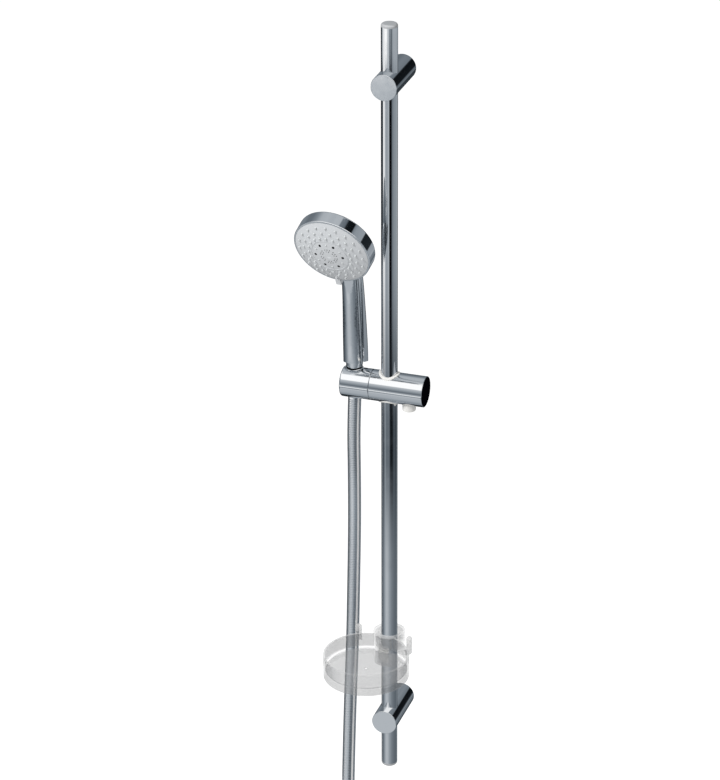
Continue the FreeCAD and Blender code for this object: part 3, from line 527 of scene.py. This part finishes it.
def hose_material(foil):
    """Silver foil under clear plastic: a metal with lengthwise bands of painted highlight and shade, a white,
    not metal stripe of painted highlight, a glossy coat and a fine spiral rib along its UV map, as a wave that
    goes up and down once in each rib."""
    metal = 0.9
    material, tree, shader = new_material("Silver hose")
    shader.inputs["Roughness"].default_value = 0.12
    shader.inputs["Coat Weight"].default_value = 0.6
    shader.inputs["Coat Roughness"].default_value = 0.06
    uv = tree.nodes.new("ShaderNodeUVMap")
    split = tree.nodes.new("ShaderNodeSeparateXYZ")
    tree.links.new(uv.outputs["UV"], split.inputs[0])
    round_share, reach = split.outputs["X"], split.outputs["Y"]
    spiral = math_node(tree, "ADD", product(tree, reach, 1 / HOSE_RIB), round_share)
    relief = node(tree, "ShaderNodeBump", Strength=0.25, Distance=0.0003)
    tree.links.new(math_node(tree, "PINGPONG", spiral, 0.5), relief.inputs["Height"])
    tree.links.new(relief.outputs["Normal"], shader.inputs["Normal"])
    # Painted highlight: a white, not metal stripe at a fixed share of the turn stands in for the highlight
    # along one side of the hose.
    off = math_node(tree, "ABSOLUTE", math_node(tree, "SUBTRACT", round_share, HOSE_HIGHLIGHT_AT))
    highlight_stripe = inverse(tree, past(tree, off, HOSE_HIGHLIGHT_HALF, blur=0.008))
    # Painted light and shade: lighter and darker lengthwise bands round the hose stand in for its highlights
    # and the shaded valley between them.
    light_and_shade_bands = ramp(tree, [(place, share * foil) for place, share in HOSE_LIGHT_AND_SHADE], round_share)
    tree.links.new(mix_colours(tree, highlight_stripe, light_and_shade_bands, (1, 1, 1, 1)), shader.inputs["Base Color"])
    tree.links.new(product(tree, inverse(tree, highlight_stripe), metal), shader.inputs["Metallic"])
    return material


def floor_material():
    """A white floor that keeps its shadow: part of its white is its own for what looks at it."""
    glow = 0.5
    material, tree, shader = new_material("Floor")
    shader.inputs["Base Color"].default_value = (0.85, 0.85, 0.85, 1)
    shader.inputs["Roughness"].default_value = 0.9
    shader.inputs["Specular IOR Level"].default_value = 0.0
    shader.inputs["Emission Color"].default_value = (1, 1, 1, 1)
    ray = tree.nodes.new("ShaderNodeLightPath")
    seen = math_node(tree, "MAXIMUM", ray.outputs["Is Camera Ray"], ray.outputs["Is Transmission Ray"])
    tree.links.new(product(tree, seen, glow), shader.inputs["Emission Strength"])
    return material


def finish(nodes, material):
    """Puts a material on CAD nodes."""
    for name in nodes:
        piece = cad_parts[name]
        if not piece.material_slots:
            piece.data.materials.append(material)
        for place in piece.material_slots:
            place.material = material


# Studio: bands of light as (place, level). Walls are banded by height, from 0 straight down to 1 straight up.
# Rings are banded by azimuth, from 0 at the left round by the front, the right and the back to 1.
FRONT_WALL = (
    (0.0, 0.26), (0.1, 0.33), (0.167, 0.47), (0.25, 0.5), (0.4, 0.52), (0.44, 0.42), (0.475, 0.17),
    (0.51, 0.22), (0.56, 0.36), (0.61, 0.5), (0.655, 0.6), (0.675, 1.2), (0.86, 1.2), (0.885, 0.58),
    (1.0, 0.62))
RIGHT_WALL = (
    (0.0, 0.26), (0.3, 0.33), (0.4, 0.4), (0.437, 0.36), (0.447, 0.02), (0.577, 0.015), (0.587, 0.38),
    (0.7, 0.34), (0.735, 0.24), (0.747, 0.005), (0.833, 0.01), (0.852, 0.16), (0.9, 0.22), (1.0, 0.55))
BACK_WALL = (
    (0.0, 0.05), (0.3, 0.06), (0.37, 0.13), (0.43, 0.14), (0.447, 0.01), (0.585, 0.006), (0.6, 0.02),
    (0.61, 0.2), (0.66, 0.24), (0.69, 0.28), (0.735, 0.12), (0.8, 0.35), (0.87, 0.5), (1.0, 0.6))
LEFT_WALL = (
    (0.0, 0.03), (0.27, 0.03), (0.4, 0.22), (0.5, 0.24), (0.567, 0.18), (0.633, 0.19), (0.7, 0.29),
    (0.77, 0.5), (0.84, 0.54), (0.9, 0.5), (1.0, 0.6))
LOWEST_RING = (
    (0.0, 0.1), (0.03, 0.17), (0.06, 0.25), (0.1, 0.38), (0.15, 0.58), (0.205, 0.62), (0.25, 0.54),
    (0.3, 0.4), (0.345, 0.34), (0.39, 0.26), (0.447, 0.21), (0.503, 0.17), (0.558, 0.15), (0.62, 0.15),
    (0.645, 0.22), (0.68, 0.22), (0.71, 0.1), (0.85, 0.015), (0.95, 0.03), (1.0, 0.1))
LOW_RING = (
    (0.0, 0.14), (0.03, 0.2), (0.06, 0.26), (0.1, 0.36), (0.15, 0.52), (0.205, 0.56), (0.25, 0.49),
    (0.3, 0.36), (0.345, 0.31), (0.39, 0.24), (0.447, 0.2), (0.503, 0.17), (0.558, 0.15), (0.62, 0.15),
    (0.645, 0.22), (0.68, 0.22), (0.71, 0.12), (0.88, 0.06), (0.95, 0.1), (1.0, 0.14))
MIDDLE_RING = (
    (0.0, 0.08), (0.075, 0.09), (0.11, 0.26), (0.145, 0.28), (0.18, 0.15), (0.27, 0.17), (0.3, 0.13),
    (0.335, 0.008), (0.425, 0.008), (0.46, 0.07), (0.53, 0.08), (0.6, 0.04), (0.628, 0.04), (0.65, 0.24),
    (0.68, 0.24), (0.72, 0.05), (0.9, 0.05), (1.0, 0.08))
HIGH_RING = (
    (0.0, 0.07), (0.03, 0.1), (0.048, 1.1), (0.105, 0.92), (0.13, 0.56), (0.15, 0.5), (0.185, 0.26),
    (0.194, 0.5), (0.206, 0.5), (0.215, 0.35), (0.27, 0.54), (0.288, 0.45), (0.296, 0.002), (0.37, 0.003),
    (0.39, 0.1), (0.415, 0.23), (0.5, 0.32), (0.6, 0.34), (0.64, 0.44), (0.66, 0.4), (0.675, 0.1),
    (0.72, 0.03), (0.97, 0.03))
CROWN_RING = (
    (0.0, 0.5), (0.05, 0.88), (0.1, 1.0), (0.14, 1.2), (0.2, 1.2), (0.225, 0.7), (0.27, 0.62), (0.295, 0.28),
    (0.345, 0.3), (0.375, 0.11), (0.4, 0.34), (0.45, 0.48), (0.6, 0.44), (0.67, 0.34), (0.71, 0.08),
    (0.93, 0.04), (0.97, 0.06), (1.0, 0.5))

# Each wall takes over between two azimuths, and each ring between two heights
WALL_STEPS = (
    (0.52, 0.55, RIGHT_WALL), (0.632, 0.65, BACK_WALL), (0.76, 0.81, LEFT_WALL), (0.955, 0.995, FRONT_WALL))
RING_STEPS = (
    (0.3165, 0.3205, LOW_RING), (0.339, 0.350, MIDDLE_RING), (0.352, 0.368, HIGH_RING),
    (0.3856, 0.3864, CROWN_RING))
BELT_BOTTOM = (0.29, 0.31)
BELT_TOP = (0.395, 0.415)


def layered(tree, along, first, over, steps):
    """Bands along one factor, where each next set takes over between two values of another factor."""
    colour = ramp(tree, first, along)
    for low, high, bands in steps:
        colour = mix_colours(tree, smooth_step(tree, over, low, high), colour, ramp(tree, bands, along))
    return colour


def studio_world(ambient):
    """White for the camera and through clear pieces, an even level for soft light, and for reflections a
    studio of pale and dark panels: four walls and, below the horizon, a belt of five rings over them."""
    world = bpy.data.worlds.new("Studio")
    world.use_nodes = True
    tree = world.node_tree
    tree.nodes.clear()
    out = tree.nodes.new("ShaderNodeOutputWorld")
    coords = tree.nodes.new("ShaderNodeTexCoord")
    split = tree.nodes.new("ShaderNodeSeparateXYZ")
    tree.links.new(coords.outputs["Generated"], split.inputs[0])
    x, y, z = split.outputs
    turn = math_node(tree, "ARCTAN2", y, x)
    turn = math_node(tree, "ADD", math_node(tree, "DIVIDE", turn, 2 * math.pi), 0.5)
    rise = math_node(tree, "ADD", math_node(tree, "DIVIDE", math_node(tree, "ARCSINE", z), math.pi), 0.5)
    walls = layered(tree, rise, FRONT_WALL, turn, WALL_STEPS)
    belt = layered(tree, turn, LOWEST_RING, rise, RING_STEPS)
    below_top = inverse(tree, smooth_step(tree, rise, *BELT_TOP))
    weight = product(tree, smooth_step(tree, rise, *BELT_BOTTOM), below_top)
    studio = mix_colours(tree, weight, walls, belt)
    ray = tree.nodes.new("ShaderNodeLightPath")
    seen = math_node(tree, "MAXIMUM", ray.outputs["Is Camera Ray"], ray.outputs["Is Transmission Ray"])
    level = mix_colours(tree, ray.outputs["Is Glossy Ray"], (ambient, ambient, ambient, 1), studio)
    level = mix_colours(tree, seen, level, (1, 1, 1, 1))
    sky = node(tree, "ShaderNodeBackground", Strength=1.0)
    tree.links.new(level, sky.inputs["Color"])
    tree.links.new(sky.outputs[0], out.inputs["Surface"])
    return world


# Operators

class SLIDERAIL_OT_finish_metal(bpy.types.Operator):
    """Puts the plated and plain metals on the rail, brackets, slider and fittings"""

    bl_idname = "slide_rail.finish_metal"
    bl_label = "Finish the metal"

    def execute(self, context):
        look = context.scene.slide_rail_finish
        chrome = chrome_material("Chrome", look.chrome, look.chrome_roughness)
        finish(["rail_tube", "bracket_top", "bracket_bottom", "slider_body", "handset_holder", "handset_body",
                "hose_cone_nut", "hose_end_ferrule", "hose_end_nut"], chrome)
        finish(["rail_cap_top", "rail_cap_bottom"], satin_material("Satin plug", (0.54, 0.55, 0.56)))
        steel = chrome_material("Plain steel", (0.52, 0.52, 0.53), roughness=0.25)
        finish(["bracket_grub_screws", "rail_lock_screws", "pivot_spring_washer", "pivot_screw"], steel)
        zinc = chrome_material("Cast zinc", (0.42, 0.42, 0.43), roughness=0.45)
        finish(["wall_boss_top", "wall_boss_bottom"], zinc)
        brass = chrome_material("Turned brass", (0.74, 0.56, 0.26), roughness=0.2)
        finish(["hose_ferrule"], brass)
        return {"FINISHED"}


class SLIDERAIL_OT_finish_plastic(bpy.types.Operator):
    """Puts the moulded plastics on bush, button, coil tie, spray face and pads, and on the slider's end cap a
    black that is a painted dark reflection of its end.
    """

    bl_idname = "slide_rail.finish_plastic"
    bl_label = "Finish the plastic"

    def execute(self, context):
        look = context.scene.slide_rail_finish
        pale = plastic_material("Pale plastic", look.pale, low=0.3, high=0.42, bump=0.05)
        finish(["slider_bush", "grip_ring", "brake_shoe", "release_button", "friction_washer"], pale)
        # The slider's end cap gets this black without gloss as a painted dark reflection of its plated end;
        # the coil tie's black is its own.
        black_and_painted_reflection = plastic_material("Black plastic and painted reflection", (0.0015, 0.0015, 0.003), low=0.3, high=0.5, gloss=0.0)
        finish(["slider_end_cap", "coil_tie"], black_and_painted_reflection)
        rubber = plastic_material("Rubber", (0.03, 0.03, 0.03), low=0.6, high=0.8, bump=0.2)
        finish(["hose_seal"], rubber)
        grey = plastic_material("Spray plate", look.face, low=0.3, high=0.4, bump=0.04)
        finish(["spray_plate", "flow_divider"], grey)
        white = plastic_material("Nozzle silicone", look.nozzle, low=0.4, high=0.55, bump=0.08)
        finish(["nozzle_mat"], white)
        cream = plastic_material("Cream pad", (0.95, 0.94, 0.90), low=0.4, high=0.55, bump=0.1)
        finish(["dish_pad"], cream)
        return {"FINISHED"}


class SLIDERAIL_OT_finish_dish(bpy.types.Operator):
    """Puts the clear, slightly frosted plastic on the soap dish"""

    bl_idname = "slide_rail.finish_dish"
    bl_label = "Finish the dish"

    def execute(self, context):
        look = context.scene.slide_rail_finish
        finish(["soap_dish"], dish_material(look.dish, look.veil))
        return {"FINISHED"}


class SLIDERAIL_OT_make_face(bpy.types.Operator):
    """Makes the jet mouths and the mist holes as flat dark discs of painted shade, and the small nozzles in
    the middle of the spray face
    """

    bl_idname = "slide_rail.make_face"
    bl_label = "Make the face details"

    def execute(self, context):
        at_jets = JET_PHASE + np.arange(JETS) * 2 * math.pi / JETS
        between = at_jets[:, None] + math.pi / JETS
        # Painted shade: the jet mouths and mist holes are dark discs laid just over the dome, standing in for
        # the shade inside the holes.
        dark = plastic_material("Painted hole shade", (0.012, 0.012, 0.014), low=0.5, high=0.6, gloss=0.1)
        face_discs("jet_mouths", np.full(JETS, JET_RING), at_jets, JET_MOUTH_R, HOLE_LIFT, dark)
        ring, swing = np.array(MIST_HOLES).T
        turn = (between + np.radians(swing)).ravel()
        face_discs("mist_holes", np.tile(ring, JETS), turn, MIST_HOLE_R, HOLE_LIFT, dark)
        # Small nozzles: flattened half balls, as wide as the cosine of the lean and as high as its sine
        rows, sides = 6, 16
        lean = np.linspace(0, np.pi / 2, rows)[:, None]
        step = 2 * np.pi * np.arange(sides) / sides
        px = JET_RING * np.cos(between)[:, None] + SMALL_NOZZLE_R * np.cos(lean) * np.cos(step)
        py = JET_RING * np.sin(between)[:, None] + SMALL_NOZZLE_R * np.cos(lean) * np.sin(step)
        height = np.broadcast_to(SMALL_NOZZLE_RISE * np.sin(lean) - SMALL_NOZZLE_SINK, px.shape)
        points = face_points(np.hypot(px, py), np.arctan2(py, px), height)
        faces = grid_faces(rows, sides, True)[None] + (np.arange(JETS) * rows * sides)[:, None, None]
        knobs = new_piece("small_nozzles", points, faces.reshape(-1, 4))
        knobs.data.materials.append(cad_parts["nozzle_mat"].material_slots[0].material)
        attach(knobs, "spray_face")
        return {"FINISHED"}


class SLIDERAIL_OT_make_spring(bpy.types.Operator):
    """Makes the brake's coil spring as a fixed helix; the real spring shortens when the button draws the shoe
    back
    """

    bl_idname = "slide_rail.make_spring"
    bl_label = "Make the brake spring"

    def execute(self, context):
        low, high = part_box("brake_spring")
        # A helix: even steps along the slider, with the sine and cosine of its turn across
        wire, turns, sides, steps = 0.0005, 4, 10, 32
        turn = np.linspace(0, 2 * np.pi * turns, steps * turns + 1)
        radius = (high[1] - low[1]) / 2 - wire
        x = np.linspace(low[0] + wire, high[0] - wire, len(turn))
        line = np.stack([x, RAIL_Y + radius * np.sin(turn), SLIDER_Z - radius * np.cos(turn)], 1)
        points = tube_points(line, np.full(len(line), wire), sides, np.array([1.0, 0, 0]))
        spring = new_piece("spring", points, tube_faces(len(line), sides))
        spring.data.materials.append(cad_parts["pivot_screw"].material_slots[0].material)
        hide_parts("brake_spring")
        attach(spring, "slider")
        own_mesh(spring)
        return {"FINISHED"}


class SLIDERAIL_OT_make_hose(bpy.types.Operator):
    """Makes the silver hose, hanging from the holder and coiled below the rail"""

    bl_idname = "slide_rail.make_hose"
    bl_label = "Make the hose"

    def execute(self, context):
        shape = context.scene.slide_rail_hose
        look = context.scene.slide_rail_finish
        route = MM * np.array(HOSE_ROUTE)
        low = MM * np.array(HOSE_LOW)
        # Coil: a circle about an axis from front to back, one pitch further back in each turn. Its control
        # points stand out from the hose, at its radius over the cosine of half a step
        steps = 16
        turn = -2 * np.pi * np.arange(0.5, steps * shape.turns + 0.5) / steps
        swell = shape.coil_radius / math.cos(math.pi / steps)
        coil = np.stack([
            low[0] - shape.coil_radius + swell * np.cos(turn),
            low[1] - turn / (2 * np.pi) * shape.coil_pitch,
            low[2] + swell * np.sin(turn)], 1)
        tail = low + np.array([[0, shape.turns * shape.coil_pitch, -HOSE_TAIL_DROP]])
        line = read_spline(np.vstack([route, coil, tail]), resolution=8)
        reach = np.r_[0, np.cumsum(np.linalg.norm(np.diff(line, axis=0), axis=1))]
        neck = np.clip(reach / NECK_LENGTH, 0, 1)
        radius = shape.diameter / 2 - NECK_IN * (1 - neck ** 2 * (3 - 2 * neck))
        points = tube_points(line, radius, shape.sides, np.array([0, 1.0, 0]))
        hose = new_piece("hose", points, tube_faces(len(line), shape.sides))
        around = np.tile(np.arange(shape.sides) / shape.sides, len(line))
        put_uv(hose, np.c_[around, np.repeat(reach, shape.sides)])
        hose.data.materials.append(hose_material(look.foil))
        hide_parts("hose_tube", "hose_coil")
        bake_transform(hose)
        return {"FINISHED"}


class SLIDERAIL_OT_set_stage(bpy.types.Operator):
    """Sets the world, the floor, the lamp and the camera"""

    bl_idname = "slide_rail.set_stage"
    bl_label = "Set the stage"

    def execute(self, context):
        scene = context.scene
        light = scene.slide_rail_light
        scene.view_settings.view_transform = "Standard"
        scene.world = studio_world(light.ambient)
        scene.cycles.transparent_max_bounces = CLEAR_LAYERS
        reach = np.linspace(-FLOOR_REACH, FLOOR_REACH, 2)
        gx, gy = np.meshgrid(reach, reach)
        points = np.stack([gx, gy, np.full_like(gx, FLOOR_Z)], -1)
        floor = new_piece("floor", points, grid_faces(2, 2, False))
        floor.data.materials.append(floor_material())
        floor.visible_glossy = False
        lamp = bpy.data.lights.new("key", "AREA")
        lamp.energy = light.key
        lamp.size = KEY_SIZE
        key = bpy.data.objects.new("key", lamp)
        key.location = KEY_PLACE
        key.rotation_euler = (-key.location).to_track_quat("-Z", "Y").to_euler()
        key.visible_glossy = False
        scene.collection.objects.link(key)
        camera = bpy.data.objects.new("camera", bpy.data.cameras.new("camera"))
        camera.data.lens = light.lens
        camera.data.shift_x, camera.data.shift_y = CAMERA_SHIFT
        level = math.cos(light.elevation)
        away = Vector((
            math.sin(light.azimuth) * level, -math.cos(light.azimuth) * level, math.sin(light.elevation)))
        camera.location = Vector(CAMERA_TARGET) + away * light.distance
        camera.rotation_euler = away.to_track_quat("Z", "Y").to_euler()
        scene.collection.objects.link(camera)
        scene.camera = camera
        return {"FINISHED"}


class SLIDERAIL_PT_panel(bpy.types.Panel):
    """The steps in order"""

    bl_label = "Slide rail"
    bl_idname = "SLIDERAIL_PT_panel"
    bl_space_type = "VIEW_3D"
    bl_region_type = "UI"
    bl_category = "Slide rail"

    def draw(self, context):
        for step in STEPS:
            self.layout.operator(step.bl_idname)


STEPS = (
    SLIDERAIL_OT_finish_metal, SLIDERAIL_OT_finish_plastic, SLIDERAIL_OT_finish_dish,
    SLIDERAIL_OT_make_face, SLIDERAIL_OT_make_spring, SLIDERAIL_OT_make_hose, SLIDERAIL_OT_set_stage,
)
CLASSES = (RailFinish, HoseShape, StudioLight) + STEPS + (SLIDERAIL_PT_panel,)


def register():
    """Adds the classes and the scene's settings."""
    for item in CLASSES:
        bpy.utils.register_class(item)
    bpy.types.Scene.slide_rail_finish = PointerProperty(type=RailFinish)
    bpy.types.Scene.slide_rail_hose = PointerProperty(type=HoseShape)
    bpy.types.Scene.slide_rail_light = PointerProperty(type=StudioLight)


def unregister():
    """Takes the settings and the classes away again."""
    del bpy.types.Scene.slide_rail_finish
    del bpy.types.Scene.slide_rail_hose
    del bpy.types.Scene.slide_rail_light
    for item in reversed(CLASSES):
        bpy.utils.unregister_class(item)


def main():
    """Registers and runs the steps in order."""
    register()
    bpy.ops.slide_rail.finish_metal()
    bpy.ops.slide_rail.finish_plastic()
    bpy.ops.slide_rail.finish_dish()
    bpy.ops.slide_rail.make_face()
    bpy.ops.slide_rail.make_spring()
    bpy.ops.slide_rail.make_hose()
    bpy.ops.slide_rail.set_stage()


if __name__ == "__main__":
    main()
